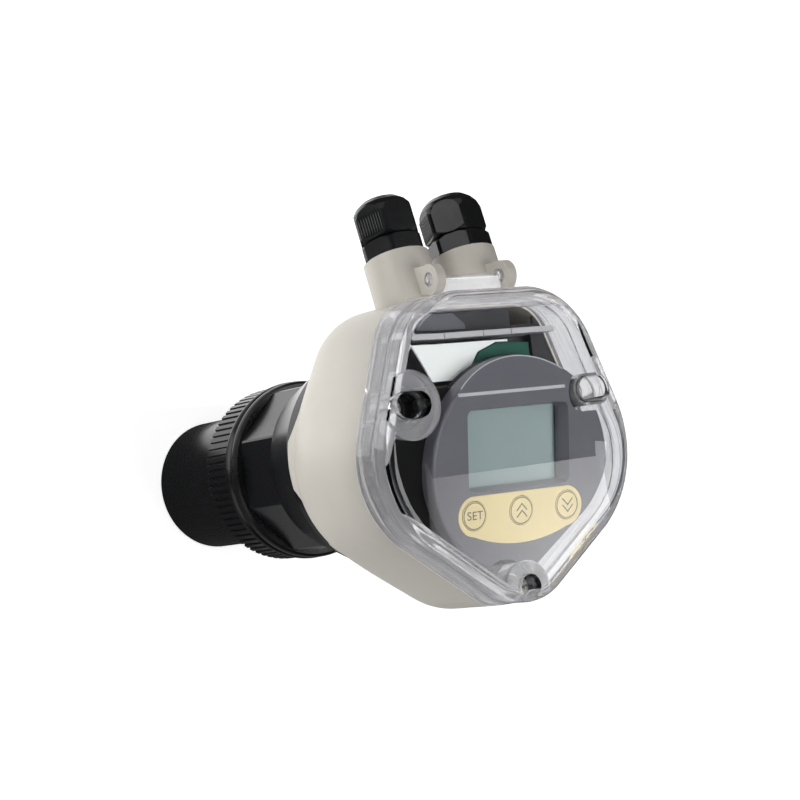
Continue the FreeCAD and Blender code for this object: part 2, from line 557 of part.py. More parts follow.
# hollow underside
bez = bez.cut(cyl(PUCK_R - 2.4, -PUCK_H - 1, -6.4, 0.0, PUCK_V))
win = Part.makeLoft([rrect(WIN_W - 4.0, WIN_H - 2.2, 1.6, -PUCK_H - 1.0, WIN_U, WIN_V),
                     rrect(WIN_W - 4.0, WIN_H - 2.2, 1.6, -4.4, WIN_U, WIN_V),
                     rrect(WIN_W - 0.5, WIN_H - 0.5, 3.0, -0.3, WIN_U, WIN_V),
                     rrect(WIN_W, WIN_H, 3.2, 0.6, WIN_U, WIN_V)], True, True)
bez = bez.cut(win)
bez = bez.cut(slab(strip_wire(-0.55, 0.12), 2.0))
bez = bez.cut(group([cyl(5.95, -PUCK_H - 1, 1.0, KEY_U + i * KEY_PITCH, KEY_V) for i in (-1, 0, 1)]))
save(on_panel(bez), "bezel")

lcd = slab(rrect(WIN_W - 3.0, WIN_H - 0.6, 1.0, -9.2, WIN_U, WIN_V), 1.8)
save(on_panel(lcd), "display")

disp = box(-29.0, 29.0, -38.0, 15.0, -11.4, -PUCK_H - 3.0 - 0.05)
disp = disp.cut(group([cyl(4.6, -14.0, -8.0, u, v) for u, v in CARRIER_XY]))
disp = clear_of_bosses(on_panel(disp)).common(prism(7.0, 170.0, 240.0))
save(disp, "display_board")

keypad = slab(strip_wire(-0.5, 0.0), 0.6)
keypad = keypad.cut(group([cyl(5.85, -1.0, 1.0, KEY_U + i * KEY_PITCH, KEY_V) for i in (-1, 0, 1)]))
save(on_panel(keypad), "keypad_strip")

for i, nm in ((-1, "key_set"), (0, "key_up"), (1, "key_down")):
    c = Vec(KEY_U + i * KEY_PITCH, KEY_V, 0)
    top = Part.makeSphere(36.0, c + Vec(0, 0, 0.75 - 36.0)).common(cyl(5.55, -1.6, 2.0, c.x, c.y))
    k = top.fuse(cyl(1.9, -8.5, -1.6, c.x, c.y)).removeSplitter()
    save(on_panel(k), nm)
save(group([on_panel(box(KEY_U + i * KEY_PITCH - 2.9, KEY_U + i * KEY_PITCH + 2.9, KEY_V - 2.9, KEY_V + 2.9, -PUCK_H - 3.05, -PUCK_H - 2.2))
            for i in (-1, 0, 1)]), "key_switches")

# ---------------------------------------------------------------- cable glands
for s, nm in ((-1, "left"), (1, "right")):
    body = cyl(9.7, -13.4, 0.0)
    hx = hexagon(23.4, 0.0, 7.1, 0.0).common(lathe([(0, 0), (12.4, 0), (13.0, 0.7), (13.0, 6.0), (12.0, 7.1), (0, 7.1)]))
    body = fuse(body, [hx, cyl(9.0, 7.1, 16.6)])
    body = body.cut(group([cyl(6.0, -14.0, 20.0), cyl(7.6, 5.0, 20.0)]))
    body.rotate(Vec(0, 0, 0), Vec(0, 0, 1), GLAND_TURN[0 if s < 0 else 1])
    save(on_gland(body, s * GX), "gland_body_" + nm)
    seal = cyl(7.5, 5.0, 17.4).cut(cyl(4.2, 4.0, 19.0))
    save(on_gland(seal, s * GX), "gland_seal_" + nm)
    prof = lathe([(0, 7.7), (11.2, 7.7), (12.9, 9.4), (12.9, 17.8), (12.2, 20.4), (10.6, 22.8), (8.3, 24.7), (6.0, 25.5), (0, 25.5)])
    cap = hexagon(23.0, 7.7, 26.0, 0.0).common(prof)
    # fine ribs on two opposite facets
    ribs = []
    for f in ((210.0, 30.0) if s < 0 else (150.0, 330.0)):
        for j in range(-4, 5):
            rb = box(11.5 - 0.3, 11.5 + 0.32, j * 1.2 - 0.32, j * 1.2 + 0.32, 9.4, 18.6)
            rb.rotate(Vec(0, 0, 0), Vec(0, 0, 1), f)
            ribs.append(rb)
    cap = cap.multiFuse(ribs)
    cap = cap.cut(group([cyl(9.3, 7.0, 18.4), Part.makeCone(9.3, 5.0, 4.2, Vec(0, 0, 18.4)), cyl(5.0, 18.4, 27.0)]))
    cap.rotate(Vec(0, 0, 0), Vec(0, 0, 1), GLAND_TURN[0 if s < 0 else 1])
    save(on_gland(cap, s * GX), "gland_nut_" + nm)

print("done")
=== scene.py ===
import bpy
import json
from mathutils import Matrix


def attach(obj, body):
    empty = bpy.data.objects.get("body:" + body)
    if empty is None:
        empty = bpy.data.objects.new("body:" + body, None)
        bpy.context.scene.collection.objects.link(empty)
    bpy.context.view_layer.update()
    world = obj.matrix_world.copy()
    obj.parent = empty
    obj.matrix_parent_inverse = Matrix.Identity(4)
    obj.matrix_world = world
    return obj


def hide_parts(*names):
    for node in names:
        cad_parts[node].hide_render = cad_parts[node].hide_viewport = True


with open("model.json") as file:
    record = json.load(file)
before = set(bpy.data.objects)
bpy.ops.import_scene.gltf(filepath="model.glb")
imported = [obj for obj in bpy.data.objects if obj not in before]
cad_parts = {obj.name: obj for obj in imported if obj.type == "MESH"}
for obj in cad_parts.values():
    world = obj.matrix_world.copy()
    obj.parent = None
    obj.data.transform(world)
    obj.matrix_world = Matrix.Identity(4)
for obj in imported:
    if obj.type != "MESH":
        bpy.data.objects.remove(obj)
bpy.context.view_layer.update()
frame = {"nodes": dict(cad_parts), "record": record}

import json
import math

import bmesh
import bpy
from mathutils import Matrix, Vector

NODES = frame["nodes"]
MM = 0.001

# ------------------------------------------------------------------ shared dimensions (mm)
PAN_O = Vector((9.5, 0.5, 218.9))
TILT = math.radians(10.25)
YP = Vector((0, math.cos(TILT), math.sin(TILT)))
NP = Vector((0, -math.sin(TILT), math.cos(TILT)))
KEY_PITCH, KEY_U, KEY_V = 22.75, -1.0, -30.3
PUCK_R, PUCK_V = 42.6, -12.8
OUT_V = [(0.0, -69.3), (65.4, -21.0), (37.75, 55.8), (-37.75, 55.8), (-65.4, -21.0)]
OUT_R = [18.0, 39.0, 19.0, 19.0, 39.0]
FRONT_R = [6.0, 4.0, 12.0, 12.0, 4.0]
SCREW_XY = [(-43.6, 14.6), (43.6, 14.6), (0.0, -58.5)]
BOSS_R = [12.8, 12.8, 9.5]
Z_SEAT, R_CBORE, CBORE_X, Z_BOSS = (209.0, 209.0, 216.5), (5.0, 5.0, 4.7), 2.8, 217.2
HY, HZ = 62.9, 211.8
LEAN = math.radians(15.5)


def panel(u, v, w=0.0):
    return (PAN_O + Vector((u, 0, 0)) + YP * v + NP * w) * MM


PANEL_M = Matrix(((1, 0, 0, PAN_O.x * MM),
                  (0, YP.y, NP.y, PAN_O.y * MM),
                  (0, YP.z, NP.z, PAN_O.z * MM),
                  (0, 0, 0, 1)))


# ------------------------------------------------------------------ material building
def new_mat(name):
    m = bpy.data.materials.new(name)
    m.use_nodes = True
    nt = m.node_tree
    bsdf = nt.nodes["Principled BSDF"]
    return m, nt, bsdf


def coords(nt, scale=(1, 1, 1)):
    tc = nt.nodes.new("ShaderNodeTexCoord")
    mp = nt.nodes.new("ShaderNodeMapping")
    mp.inputs["Scale"].default_value = scale
    nt.links.new(tc.outputs["Object"], mp.inputs["Vector"])
    return mp.outputs["Vector"]


def noise(nt, vec, scale, detail=4.0, rough=0.55, dist=0.0):
    n = nt.nodes.new("ShaderNodeTexNoise")
    n.inputs["Scale"].default_value = scale
    n.inputs["Detail"].default_value = detail
    n.inputs["Roughness"].default_value = rough
    n.inputs["Distortion"].default_value = dist
    nt.links.new(vec, n.inputs["Vector"])
    return n.outputs["Fac"]


def ramp(nt, fac, stops):
    r = nt.nodes.new("ShaderNodeValToRGB")
    while len(r.color_ramp.elements) < len(stops):
        r.color_ramp.elements.new(0.5)
    for e, (p, c) in zip(r.color_ramp.elements, stops):
        e.position = p
        e.color = (c[0], c[1], c[2], 1.0)
    nt.links.new(fac, r.inputs["Fac"])
    return r.outputs["Color"]


def to_range(nt, fac, lo, hi, f0=0.3, f1=0.7):
    m = nt.nodes.new("ShaderNodeMapRange")
    m.inputs["From Min"].default_value = f0
    m.inputs["From Max"].default_value = f1
    m.inputs["To Min"].default_value = lo
    m.inputs["To Max"].default_value = hi
    nt.links.new(fac, m.inputs["Value"])
    return m.outputs["Result"]


def bump(nt, bsdf, height, strength, dist):
    b = nt.nodes.new("ShaderNodeBump")
    b.inputs["Strength"].default_value = strength
    b.inputs["Distance"].default_value = dist
    nt.links.new(height, b.inputs["Height"])
    nt.links.new(b.outputs["Normal"], bsdf.inputs["Normal"])
    return b


def plastic(name, col, rough=(0.3, 0.4), var=0.06, grain=2600.0, grain_h=0.00003, grain_s=0.25,
            blotch=55.0, spec=0.5, coat=0.0, coat_rough=0.1, metallic=0.0):
    """moulded plastic: slow colour drift, patchy gloss and a fine spark-eroded grain"""
    m, nt, b = new_mat(name)
    v = coords(nt)
    slow = noise(nt, v, blotch, 5.0, 0.6)
    lo = [c * (1 - var) for c in col]
    hi = [min(1.0, c * (1 + var)) for c in col]
    nt.links.new(ramp(nt, slow, [(0.3, lo), (0.5, col), (0.72, hi)]), b.inputs["Base Color"])
    patch = noise(nt, v, blotch * 2.7, 6.0, 0.65)
    nt.links.new(to_range(nt, patch, rough[0], rough[1]), b.inputs["Roughness"])
    fine = noise(nt, v, grain, 3.0, 0.6)
    bump(nt, b, fine, grain_s, grain_h)
    b.inputs["Specular IOR Level"].default_value = spec
    b.inputs["Metallic"].default_value = metallic
    b.inputs["Coat Weight"].default_value = coat
    b.inputs["Coat Roughness"].default_value = coat_rough
    return m


def brushed(name, col, rough=(0.22, 0.36), stretch=(1, 1, 18), scale=900.0):
    m, nt, b = new_mat(name)
    v = coords(nt, stretch)
    n = noise(nt, v, scale, 5.0, 0.6)
    lo = [c * 0.82 for c in col]
    nt.links.new(ramp(nt, n, [(0.25, lo), (0.7, col)]), b.inputs["Base Color"])
    nt.links.new(to_range(nt, n, rough[0], rough[1]), b.inputs["Roughness"])
    bump(nt, b, n, 0.15, 0.00002)
    b.inputs["Metallic"].default_value = 1.0
    return m


def clear(name):
    """polished clear moulding with faint flow lines"""
    m, nt, b = new_mat(name)
    v = coords(nt)
    flow = noise(nt, v, 38.0, 3.0, 0.5, 0.6)
    nt.links.new(ramp(nt, flow, [(0.3, (0.955, 0.962, 0.972)), (0.7, (0.985, 0.988, 0.992))]), b.inputs["Base Color"])
    fine = noise(nt, v, 160.0, 4.0, 0.6)
    nt.links.new(to_range(nt, fine, 0.0, 0.004), b.inputs["Roughness"])
    b.inputs["Transmission Weight"].default_value = 1.0
    b.inputs["IOR"].default_value = 1.52
    return m


def clear_rim(name, lo, hi, trans, rough, streak=650.0):
    """edge of the clear moulding: pale streaks painted into the base colour for light carried along the wall (painted
    highlight), with dark lines between them (painted shade)
    """
    m, nt, b = new_mat(name)
    v = coords(nt, (14.0, 14.0, streak))
    st = noise(nt, v, 1.0, 4.0, 0.55, 0.4)
    dark = [c * 0.3 for c in lo]
    # painted highlight and painted shade: streak ramp from dark lines through the pale bands
    nt.links.new(ramp(nt, st, [(0.33, dark), (0.39, lo), (0.46, hi), (0.55, lo), (0.58, hi), (0.70, lo)]), b.inputs["Base Color"])
    w = coords(nt, (60.0, 60.0, 420.0))
    fine = noise(nt, w, 1.0, 3.0, 0.5)
    nt.links.new(to_range(nt, fine, rough[0], rough[1]), b.inputs["Roughness"])
    bump(nt, b, st, 0.12, 0.0003)
    b.inputs["Transmission Weight"].default_value = trans
    b.inputs["IOR"].default_value = 1.5
    return m


def clear_recess_painted_shade(name, cx, cy, half, rc):
    """clear boss around a deep screw recess, its base colour darkened inside the recess as painted shade"""
    m = clear_rim(name, (0.82, 0.82, 0.87), (0.99, 0.99, 1.0), 0.85, (0.0, 0.03), 420.0)
    nt = m.node_tree
    b = nt.nodes["Principled BSDF"]
    sp = nt.nodes.new("ShaderNodeSeparateXYZ")
    nt.links.new(coords(nt), sp.inputs["Vector"])

    def op(kind, a, c):
        n = nt.nodes.new("ShaderNodeMath")
        n.operation = kind
        for i, q in enumerate((a, c)):
            if isinstance(q, float):
                n.inputs[i].default_value = q
            else:
                nt.links.new(q, n.inputs[i])
        return n.outputs[0]

    dx = op("MAXIMUM", op("SUBTRACT", op("ABSOLUTE", op("SUBTRACT", sp.outputs["X"], cx * MM), 0.0), half * MM), 0.0)
    dy = op("SUBTRACT", sp.outputs["Y"], cy * MM)
    r = op("SQRT", op("ADD", op("MULTIPLY", dx, dx), op("MULTIPLY", dy, dy)), 0.0)
    # painted shade: colour falls to 3% inside the recess radius and returns to full just outside it
    shade = to_range(nt, r, 0.03, 1.0, (rc + 0.1) * MM, (rc + 0.5) * MM)
    mix = nt.nodes.new("ShaderNodeMix")
    mix.data_type, mix.blend_type = "RGBA", "MULTIPLY"
    mix.inputs["Factor"].default_value = 1.0
    old = b.inputs["Base Color"].links[0].from_socket
    nt.links.new(old, mix.inputs["A"])
    nt.links.new(shade, mix.inputs["B"])
    nt.links.new(mix.outputs["Result"], b.inputs["Base Color"])
    return m


MAT = {}
MAT["black_gloss"] = plastic("probe_black", (0.006, 0.0065, 0.0075), (0.2, 0.25), 0.12, 2200, 0.00001, 0.03, 40, 0.45)
MAT["black_satin"] = plastic("nut_black", (0.007, 0.0075, 0.0085), (0.2, 0.28), 0.12, 2600, 0.00002, 0.12, 60, 0.42)
MAT["seal_rubber"] = plastic("seal_black", (0.011, 0.011, 0.012), (0.2, 0.3), 0.12, 2400, 0.00002, 0.15, 70, 0.4)
MAT["face_grey"] = plastic("face_layer", (0.22, 0.23, 0.24), (0.5, 0.62), 0.06)
MAT["piezo_ceramic"] = plastic("piezo", (0.5, 0.46, 0.38), (0.6, 0.7), 0.05)
MAT["potting"] = plastic("potting_resin", (0.08, 0.08, 0.085), (0.5, 0.6), 0.1)
MAT["beige"] = plastic("housing_beige", (0.62, 0.59, 0.53), (0.38, 0.48), 0.025, 3000, 0.00004, 0.3, 35, 0.42)
MAT["clear"] = clear("cover_clear")
MAT["clear_rim"] = clear_rim("cover_edge", (0.76, 0.76, 0.8), (0.99, 0.99, 1.0), 0.8, (0.01, 0.06), 950.0)
MAT["clear_boss"] = clear_rim("cover_boss", (0.8, 0.8, 0.85), (0.97, 0.97, 0.98), 0.9, (0.0, 0.03), 300.0)
MAT["clear_tab"] = clear_rim("cover_tab", (0.96, 0.96, 0.96), (0.99, 0.99, 0.99), 0.06, (0.2, 0.3), 60.0)
MAT["steel"] = brushed("screw_steel", (0.72, 0.72, 0.71))
MAT["board_green"] = plastic("board_mask", (0.02, 0.15, 0.06), (0.3, 0.4), 0.08)
MAT["bezel_grey"] = plastic("bezel_satin", (0.125, 0.125, 0.145), (0.3, 0.305), 0.015, 2600, 0.00001, 0.05, 45, 0.45)
# light grey for the bezel's crease and upper edge: painted highlight
MAT["bezel_edge_highlight"] = plastic("bezel_edge_highlight", (0.52, 0.52, 0.55), (0.16, 0.2), 0.03, 2600, 0.000025, 0.1, 45, 0.5)
MAT["carrier_black"] = plastic("carrier_matt", (0.003, 0.0032, 0.0035), (0.3, 0.4), 0.1, 2600, 0.00003, 0.2, 50, 0.08)
MAT["lcd"] = plastic("lcd_pane", (0.33, 0.41, 0.405), (0.12, 0.18), 0.03, 4000, 0.00001, 0.08, 30, 0.5)
MAT["gold_film"] = plastic("keypad_gold", (0.73, 0.60, 0.28), (0.36, 0.44), 0.025, 3600, 0.00002, 0.15, 60, 0.4)
MAT["terminal_green"] = plastic("terminal_green", (0.008, 0.09, 0.06), (0.3, 0.4), 0.08)
MAT["card_white"] = plastic("card_white", (0.92, 0.96, 0.94), (0.45, 0.55), 0.02)
MAT["strip_light"] = plastic("strip_light", (0.46, 0.46, 0.475), (0.4, 0.5), 0.03)
MAT["shelf_grey"] = plastic("shelf_grey", (0.035, 0.035, 0.039), (0.35, 0.45), 0.06)

slot_of = {s["node"]: s["material_slot"] for s in frame["record"]["subparts"]}
for n, o in NODES.items():
    o.data.materials.clear()
    o.data.materials.append(MAT[slot_of[n]])

# ------------------------------------------------------------------ small pieces
def mesh_obj(name, bm, mat, body, smooth=True, matrix=None):
    if matrix is not None:
        bm.transform(matrix)
    bmesh.ops.recalc_face_normals(bm, faces=bm.faces)
    me = bpy.data.meshes.new(name)
    bm.to_mesh(me)
    bm.free()
    me.materials.append(mat)
    for p in me.polygons:
        p.use_smooth = smooth
    ob = bpy.data.objects.new(name, me)
    bpy.context.scene.collection.objects.link(ob)
    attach(ob, body)
    return ob


def torus(bm, centre, major, minor, n=72, k=10, squash=1.0):
    """ring lying in the local XY plane"""
    rows = []
    for i in range(n):
        a = 2 * math.pi * i / n
        row = []
        for j in range(k):
            b = 2 * math.pi * j / k
            r = major + minor * math.cos(b)
            row.append(bm.verts.new((centre[0] + r * math.cos(a), centre[1] + r * math.sin(a),
                                     centre[2] + minor * squash * math.sin(b))))
        rows.append(row)
    for i in range(n):
        for j in range(k):
            bm.faces.new((rows[i][j], rows[(i + 1) % n][j], rows[(i + 1) % n][(j + 1) % k], rows[i][(j + 1) % k]))


def stroke(bm, pts, width, height, lift, n=6):
    """raised rounded bar along a polyline given as (x, y, z of the base)"""
    P = [Vector(p) for p in pts]
    rows = []
    for i, p in enumerate(P):
        if i == 0:
            d = (P[1] - P[0]).normalized()
            m = 1.0
        elif i == len(P) - 1:
            d = (P[-1] - P[-2]).normalized()
            m = 1.0
        else:
            d0, d1 = (p - P[i - 1]).normalized(), (P[i + 1] - p).normalized()
            d = (d0 + d1).normalized()
            m = 1.0 / max(0.35, d.dot(d1))
        side = Vector((-d.y, d.x, 0)).normalized() * (width / 2 * m)
        row = []
        for j in range(n + 1):
            t = math.pi * j / n
            row.append(bm.verts.new(p + side * math.cos(t) + Vector((0, 0, lift + height * math.sin(t)))))
        rows.append(row)
    for a, b in zip(rows, rows[1:]):
        for j in range(n):
            bm.faces.new((a[j], b[j], b[j + 1], a[j + 1]))
        bm.faces.new((a[n], b[n], b[0], a[0]))
    for r in (rows[0], rows[-1]):
        bm.faces.new(r)


def shield(inset, radius, na=26, nl=14):
    """points of the shield outline with every edge moved inwards and every corner rounded"""
    n = len(OUT_V)
    lines = []
    for i in range(n):
        (x0, y0), (x1, y1) = OUT_V[i], OUT_V[(i + 1) % n]
        ln = math.hypot(x1 - x0, y1 - y0)
        nx, ny = -(y1 - y0) / ln, (x1 - x0) / ln
        lines.append((nx, ny, nx * x0 + ny * y0 + inset[i]))
    pts = []
    for i in range(n):
        a, b = lines[i - 1], lines[i]
        det = a[0] * b[1] - a[1] * b[0]
        pts.append(Vector(((a[2] * b[1] - a[1] * b[2]) / det, (a[0] * b[2] - a[2] * b[0]) / det)))
    arcs = []
    for i in range(n):
        q = pts[i]
        a = (pts[i - 1] - q).normalized()
        b = (pts[(i + 1) % n] - q).normalized()
        r = radius[i]
        half = math.acos(a.dot(b)) / 2
        c = q + (a + b).normalized() * (r / math.sin(half))
        s0, s1 = q + a * (r / math.tan(half)) - c, q + b * (r / math.tan(half)) - c
        a0 = math.atan2(s0.y, s0.x)
        da = (math.atan2(s1.y, s1.x) - a0) % (2 * math.pi)
        arcs.append([c + Vector((math.cos(a0 + da * k / na), math.sin(a0 + da * k / na))) * r for k in range(na + 1)])
    out = []
    for i in range(n):
        out += arcs[i]
        e, f = arcs[i][-1], arcs[(i + 1) % n][0]
        out += [e + (f - e) * (k / nl) for k in range(1, nl)]
    return out


def outline(d, front):
    """the cover's outline moved inwards by d; front 0..1 rounds the corners"""
    return shield([d] * 5, [max(r - d, 1.5) + front * f for r, f in zip(OUT_R, FRONT_R)])


def front_of(z):
    """how far the corner rounding has gone at height z"""
    t = [(203.5, 0.0), (215.0, 0.55), (216.0, 0.6), (221.5, 0.9), (224.0, 1.0), (230.0, 1.0)]
    for (z0, f0), (z1, f1) in zip(t, t[1:]):
        if z <= z1:
            return f0 + (f1 - f0) * max(0.0, z - z0) / (z1 - z0)
    return 1.0


def loft(bm, rows, loop):
    """skin through rows of equal length; loop closes the section, otherwise both ends are capped"""
    V = [[bm.verts.new(q) for q in r] for r in rows]
    m = len(V[0])
    pairs = list(zip(V, V[1:])) + ([(V[-1], V[0])] if loop else [])
    for a, b in pairs:
        for k in range(m):
            bm.faces.new((a[k], a[(k + 1) % m], b[(k + 1) % m], b[k]))
    if not loop:
        bm.faces.new(V[0])
        bm.faces.new(V[-1][::-1])


def shield_rows(profile):
    return [[(q.x, q.y, z) for q in outline(d, front_of(z))] for d, z in profile]


def hollow_rows(profile):
    """inside of the clear moulding, with its side corners brought closer to the skin"""
    rows = []
    for d, z in profile:
        r = [max(a - d, 1.5) + front_of(z) * f - c for a, f, c in zip(OUT_R, FRONT_R, (0.0, 8.0, 0.0, 0.0, 8.0))]
        rows.append([(q.x, q.y, z) for q in shield([d] * 5, r)])
    return rows


def round_rows(profile, cx, cy, half=0.0, n=96):
    """rows of a round or slot-shaped upright body from (r, z) points"""
    rows = []
    for r, z in profile:
        row = []
        for k in range(n):
            a = 2 * math.pi * (k + 0.5) / n
            row.append((cx + r * math.cos(a) + (half if math.cos(a) > 0 else -half), cy + r * math.sin(a), z))
        rows.append(row)
    return rows


def temp(rows, loop=False, matrix=None):
    bm = bmesh.new()
    loft(bm, rows, loop)
    bmesh.ops.recalc_face_normals(bm, faces=bm.faces)
    me = bpy.data.meshes.new("tool")
    if matrix is not None:
        bm.transform(matrix)
    bm.to_mesh(me)
    bm.free()
    ob = bpy.data.objects.new("tool", me)
    bpy.context.scene.collection.objects.link(ob)
    return ob


def carve(base, steps):
    """solid left after the listed (operation, tool) steps; the tools are used up"""
    for op, t in steps:
        md = base.modifiers.new("cut", "BOOLEAN")
        md.operation, md.solver, md.object = op, "EXACT", t
    bpy.context.view_layer.update()
    me = bpy.data.meshes.new_from_object(base.evaluated_get(bpy.context.evaluated_depsgraph_get()))
    bm = bmesh.new()
    bm.from_mesh(me)
    bpy.data.meshes.remove(me)
    for o in [base] + [t for _, t in steps]:
        old = o.data
        bpy.data.objects.remove(o)
        bpy.data.meshes.remove(old)
    bmesh.ops.remove_doubles(bm, verts=bm.verts, dist=1e-4)
    return bm


def cover_piece(name, bm, mat, angle=30.0):
    big = [f for f in bm.faces if len(f.verts) > 4]
    if big:
        bmesh.ops.triangulate(bm, faces=big)
    ob = mesh_obj(name, bm, mat, "cover", True, SC)
    for q in ob.data.polygons:
        if abs(q.normal.z) > 0.9995:
            q.use_smooth = False
    ob.data.set_sharp_from_angle(angle=math.radians(angle))
    ob.visible_shadow = False
    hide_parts("cover")
    return ob


def recess_tool(k):
    (x, y) = SCREW_XY[k]
    return temp(round_rows([(R_CBORE[k], Z_SEAT[k]), (R_CBORE[k], 232.0)], x, y, CBORE_X if abs(x) > 1 else 0.0))


def recesses():
    return [("DIFFERENCE", recess_tool(k)) for k in range(3)]


SC = Matrix.Scale(MM, 4)

# outside of the clear moulding, its hollow and the flat window in its front
SKIN = [(0.35, 203.5), (0.05, 203.8), (-0.1, 206.0), (-0.2, 210.0), (-0.28, 214.2), (-0.2, 214.7), (0.1, 215.15),
        (0.28, 215.5), (0.1, 215.85), (-0.26, 216.2), (-0.4, 216.7), (-0.62, 218.8), (-0.84, 221.0), (-0.95, 222.6), (-0.98, 223.6),
        (-0.92, 224.2), (-0.72, 224.75), (-0.36, 225.25), (0.15, 225.68), (0.8, 226.02), (1.5, 226.26), (2.3, 226.42), (3.0, 226.48)]
HOLLOW = [(3.65, 202.0), (3.6, 203.5), (3.35, 209.0), (3.1, 215.0), (2.9, 219.0), (2.75, 222.2), (3.0, 222.9), (3.6, 223.3)]
WINDOW = ([3.4, 3.0, 7.2, 2.2, 3.8], [18.0, 34.0, 12.0, 10.0, 15.0])


def window(grow, z0, z1):
    pts = shield([d - grow for d in WINDOW[0]], [r + grow for r in WINDOW[1]])
    return temp([[(q.x, q.y, z) for q in pts] for z in (z0, z1)])


def rounds(op, grow, z0, z1):
    return [(op, temp(round_rows([(EYE_R + grow, z0), (EYE_R + grow, z1)], x, y))) for x, y in SCREW_XY[:2]]


EYE_R = 12.6
cover_piece("cover_rim", carve(temp(shield_rows(SKIN)), [("DIFFERENCE", temp(hollow_rows(HOLLOW))), ("DIFFERENCE", window(0.03, 223.1, 230.0))]
                               + rounds("DIFFERENCE", 0.03, 223.27, 231.0) + recesses()), MAT["clear_rim"])
cover_piece("cover_front", carve(window(0.0, 223.3, 226.46), rounds("UNION", 0.0, 223.3, 226.46) + [("INTERSECT", temp(shield_rows(SKIN)))] + recesses()), MAT["clear"])
INSIDE = [(3.7, 203.6), (3.2, 214.0), (3.1, 223.24)]
for k, nm in enumerate(("left", "right", "low")):
    x, y = SCREW_XY[k]
    r = BOSS_R[k]
    half = CBORE_X if abs(x) > 1 else 0.0
    steps = [("INTERSECT", temp(shield_rows(INSIDE)))]
    if k == 2:
        prof = [(r - 0.5, 203.6), (r, 204.1), (r, 221.8), (r + 0.25, 222.6), (r + 0.6, 223.24)]
        body = temp(round_rows(prof, x, y, 0.0, 128))
    else:
        prof = [(5.9, 203.6), (6.2, 204.1), (6.3, 223.24)]
        body = temp(round_rows(prof, x, y, half, 128))
    if k == 0:
        wide = [(r - 0.6, Z_BOSS), (r - 0.1, Z_BOSS + 0.5), (r, Z_BOSS + 1.2), (r, 221.8), (r + 0.25, 222.6), (r + 0.6, 223.24)]
        steps = [("UNION", temp(round_rows(wide, x, y, 0.0, 128)))] + steps
    steps += [("DIFFERENCE", recess_tool(k)), ("DIFFERENCE", temp(round_rows([(2.4, 200.0), (2.4, 220.0)], x, y)))]
    cover_piece("cover_boss_" + nm, carve(body, steps), clear_recess_painted_shade("cover_boss_" + nm, x, y, half, R_CBORE[k]))

# hinge tab and its bar
bm = bmesh.new()
bmesh.ops.create_cube(bm, size=1.0)
bmesh.ops.scale(bm, vec=(29.4, 6.9, 2.2), verts=bm.verts)
bmesh.ops.translate(bm, vec=(0, 59.45, HZ), verts=bm.verts)
bmesh.ops.bevel(bm, geom=list(bm.edges), offset=0.5, segments=3, affect="EDGES")
cover_piece("cover_tab", bm, MAT["clear_tab"])
bm = bmesh.new()
half_bar = [(0.0, 19.0), (2.3, 19.0), (2.7, 18.6), (2.7, 14.2), (2.3, 13.75), (1.3, 13.7)]
prof = [(r, -x) for r, x in half_bar[1:]] + [(r, x) for r, x in half_bar[1:][::-1]]
rows = []
for r, x in prof:
    rows.append([(x, HY + r * math.cos(2 * math.pi * k / 48), HZ + r * math.sin(2 * math.pi * k / 48)) for k in range(48)])
loft(bm, rows, False)
cover_piece("cover_bar", bm, MAT["clear_boss"])


def key_top(x, y):
    """height of the domed key face at an offset from its centre"""
    return 0.75 - 36.0 + math.sqrt(36.0 ** 2 - x * x - y * y)


MAT["legend"] = plastic("legend_print", (0.03, 0.022, 0.014), (0.45, 0.55), 0.1, 4000, 0.00001, 0.1, 200, 0.3)
MAT["legend_ring"] = plastic("legend_ring", (0.07, 0.052, 0.03), (0.4, 0.5), 0.1, 4000, 0.00001, 0.1, 200, 0.3)

for i, nm in ((-1, "set"), (0, "up"), (1, "down")):
    cx = KEY_U + i * KEY_PITCH
    place = PANEL_M @ Matrix.Translation((cx * MM, KEY_V * MM, 0)) @ SC
    bm = bmesh.new()
    torus(bm, (0, 0, key_top(5.1, 0) + 0.02), 5.1, 0.19, 96, 8, 0.6)
    mesh_obj("key_ring_" + nm, bm, MAT["legend_ring"], "key_" + nm, True, place)
    if nm != "set":
        sg = 1.0 if nm == "up" else -1.0
        bm = bmesh.new()
        for off in (1.35, -1.25):
            pts = []
            for x, y in ((-2.5, -1.35), (-1.25, -0.05), (0, 1.25), (1.25, -0.05), (2.5, -1.35)):
                yy = sg * (y + off)
                pts.append((x, yy, key_top(x, yy)))
            stroke(bm, pts, 0.56, 0.07, -0.03)
        mesh_obj("key_mark_" + nm, bm, MAT["legend"], "key_" + nm, True, place)
    else:
        cu = bpy.data.curves.new("set_text", "FONT")
        cu.body = "SET"
        cu.size = 4.7
        cu.align_x, cu.align_y = "CENTER", "CENTER"
        cu.extrude = 0.05
        cu.offset = 0.0
        cu.space_character = 1.06
        tmp = bpy.data.objects.new("set_text", cu)
        bpy.context.scene.collection.objects.link(tmp)
        bpy.context.view_layer.update()
        me = bpy.data.meshes.new_from_object(tmp.evaluated_get(bpy.context.evaluated_depsgraph_get()))
        bpy.data.objects.remove(tmp)
        bm = bmesh.new()
        bm.from_mesh(me)
        bpy.data.meshes.remove(me)
        bmesh.ops.remove_doubles(bm, verts=bm.verts, dist=1e-5)
        bmesh.ops.subdivide_edges(bm, edges=[e for e in bm.edges if e.calc_length() > 0.6], cuts=2)
        bmesh.ops.triangulate(bm, faces=bm.faces)
        for v in bm.verts:
            v.co.z += key_top(v.co.x, v.co.y)
        mesh_obj("key_mark_set", bm, MAT["legend"], "key_set", False, place)

